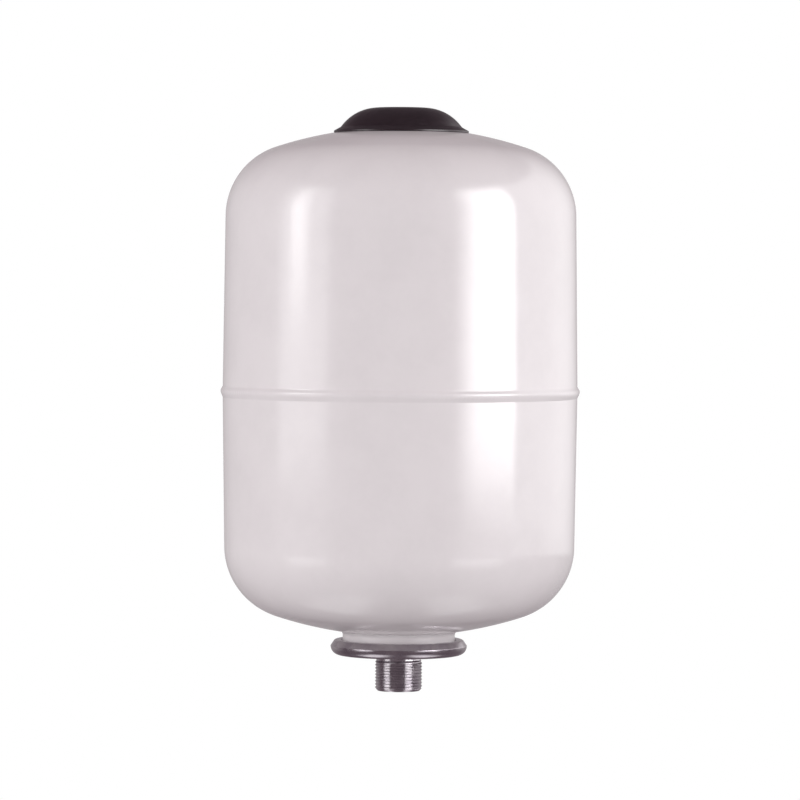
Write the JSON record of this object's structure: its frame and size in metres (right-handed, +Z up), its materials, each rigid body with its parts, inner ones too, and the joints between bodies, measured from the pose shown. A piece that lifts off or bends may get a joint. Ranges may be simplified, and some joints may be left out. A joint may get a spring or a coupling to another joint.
{
  "type": "expansion vessel",
  "caption": "White steel expansion vessel with domed ends, a girth weld, a black push-on cover over its air valve, and a crimped flange with a male water connection underneath.",
  "frame": {"origin": "centre of the end face of the water connection", "axes": "+Z up the vessel's axis, from the water connection to the air valve's cover; the vessel is round, so +X and +Y are free"},
  "size_m": [0.2027, 0.2026, 0.3289],
  "materials": {
    "enamel": "gloss white enamel",
    "zinc_plate": "bright zinc plated steel",
    "brass": "turned brass",
    "spring_steel": "bright drawn wire",
    "rubber": "matt black rubber",
    "ptfe": "white fluoropolymer",
    "cap_plastic": "black moulded plastic",
    "cover_plastic": "black moulded plastic, satin"
  },
  "bodies": {
    "root": {"upper_shell": "enamel", "lower_shell": "enamel", "girth_weld": "enamel", "bladder": "rubber", "connection_flange": "zinc_plate", "water_connection": "zinc_plate", "connection_weld": "zinc_plate", "valve_socket": "zinc_plate", "valve_socket_weld": "enamel", "valve_stem_seal": "rubber", "valve_stem": "brass", "valve_core_plug": "brass", "valve_core_seal": "ptfe", "valve_core_barrel": "brass", "valve_spring": "spring_steel"},
    "cover": {"valve_cover": "cover_plastic"},
    "valve_core_pin": {"valve_pin": "spring_steel", "valve_cup_seal": "rubber"},
    "dust_cap_lift": {"dust_cap_seal": "rubber"},
    "dust_cap_screw": {"dust_cap": "cap_plastic"}
  },
  "joints": [
    {"name": "cover_lift", "type": "slide", "parent": "root", "child": "cover", "axis": [0, 0, 1], "range_m": [0, 0.06]},
    {"name": "valve_pin_press", "type": "slide", "parent": "root", "child": "valve_core_pin", "axis": [0, 0, -1], "range_m": [0, 0.0016], "stiffness_N_per_m": 1000, "springref_m": -0.001, "deforming": ["valve_spring"]},
    {"name": "dust_cap_rise", "type": "slide", "parent": "root", "child": "dust_cap_lift", "axis": [0, 0, 1], "range_m": [0, 0.00635]},
    {"name": "dust_cap_turn", "type": "hinge", "parent": "dust_cap_lift", "child": "dust_cap_screw", "pos_m": [0, 0, 0.312], "axis": [0, 0, 1], "range_deg": [0, 2880]}
  ],
  "couplings": [
    {"joint": "dust_cap_turn", "follows": "dust_cap_rise", "rad_per_m": 7915.8}
  ]
}
